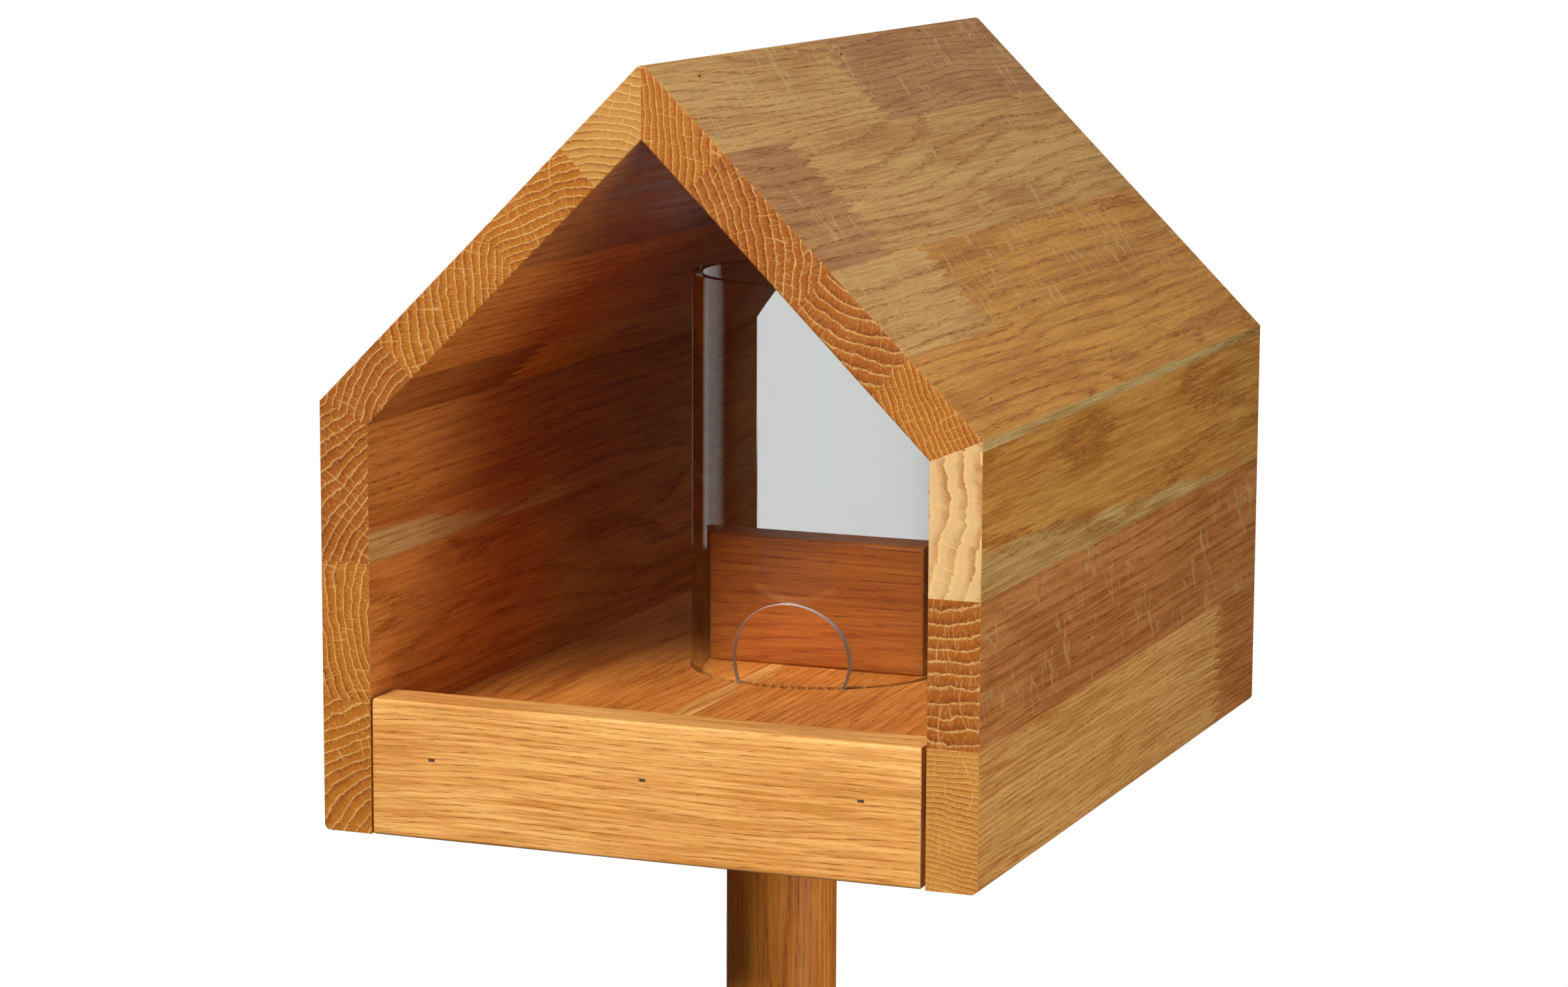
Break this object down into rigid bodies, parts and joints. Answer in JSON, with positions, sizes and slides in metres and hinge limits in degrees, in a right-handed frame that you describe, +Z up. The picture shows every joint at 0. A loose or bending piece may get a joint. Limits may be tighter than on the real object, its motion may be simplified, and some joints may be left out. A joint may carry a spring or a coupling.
{
  "type": "bird feeder on pole",
  "caption": "Gabled oak bird feeder, open at both ends, with a clear seed silo on its floor, carried on a round pole with a cross foot.",
  "frame": {"origin": "on the ground under the pole's axis, at the middle of the cross foot", "axes": "+Z up along the pole, -Y towards the feeder's front gable, +X towards its right wall seen from the front"},
  "size_m": [0.48, 0.48, 1.286],
  "materials": {
    "oiled_oak": "oiled, satin",
    "light_oak": "oiled, satin",
    "dark_oak": "oiled, satin",
    "clear_acrylic": "clear, gloss",
    "zinc_steel": "zinc plated, dull"
  },
  "bodies": {
    "stand": {"pole": "dark_oak", "foot_collar": "dark_oak", "lower_foot_arm": "dark_oak", "upper_foot_arm": "dark_oak", "collar_screws": "zinc_steel", "pole_lag_screw": "zinc_steel", "lag_washer": "zinc_steel"},
    "house": {"left_wall": "oiled_oak", "right_wall": "oiled_oak", "left_roof": "oiled_oak", "right_roof": "oiled_oak", "floor_board": "oiled_oak", "front_rail": "light_oak", "rear_rail": "light_oak", "pole_socket": "oiled_oak", "ridge_brads": "zinc_steel", "left_eave_brads": "zinc_steel", "right_eave_brads": "zinc_steel", "front_rail_brads": "zinc_steel", "rear_rail_brads": "zinc_steel", "left_floor_dowels": "light_oak", "right_floor_dowels": "light_oak", "socket_screws": "zinc_steel"},
    "silo_insert": {"seed_divider": "light_oak"},
    "silo": {"silo_tube": "clear_acrylic"}
  },
  "joints": [
    {"name": "house_lift", "type": "slide", "parent": "stand", "child": "house", "axis": [0, 0, 1], "range_m": [0, 0.03]},
    {"name": "silo_lift", "type": "slide", "parent": "house", "child": "silo_insert", "axis": [0, 0, 1], "range_m": [0, 0.013]},
    {"name": "silo_turn", "type": "hinge", "parent": "silo_insert", "child": "silo", "pos_m": [0, 0.04, 1.1065], "axis": [0, 0, 1], "continuous": true}
  ]
}
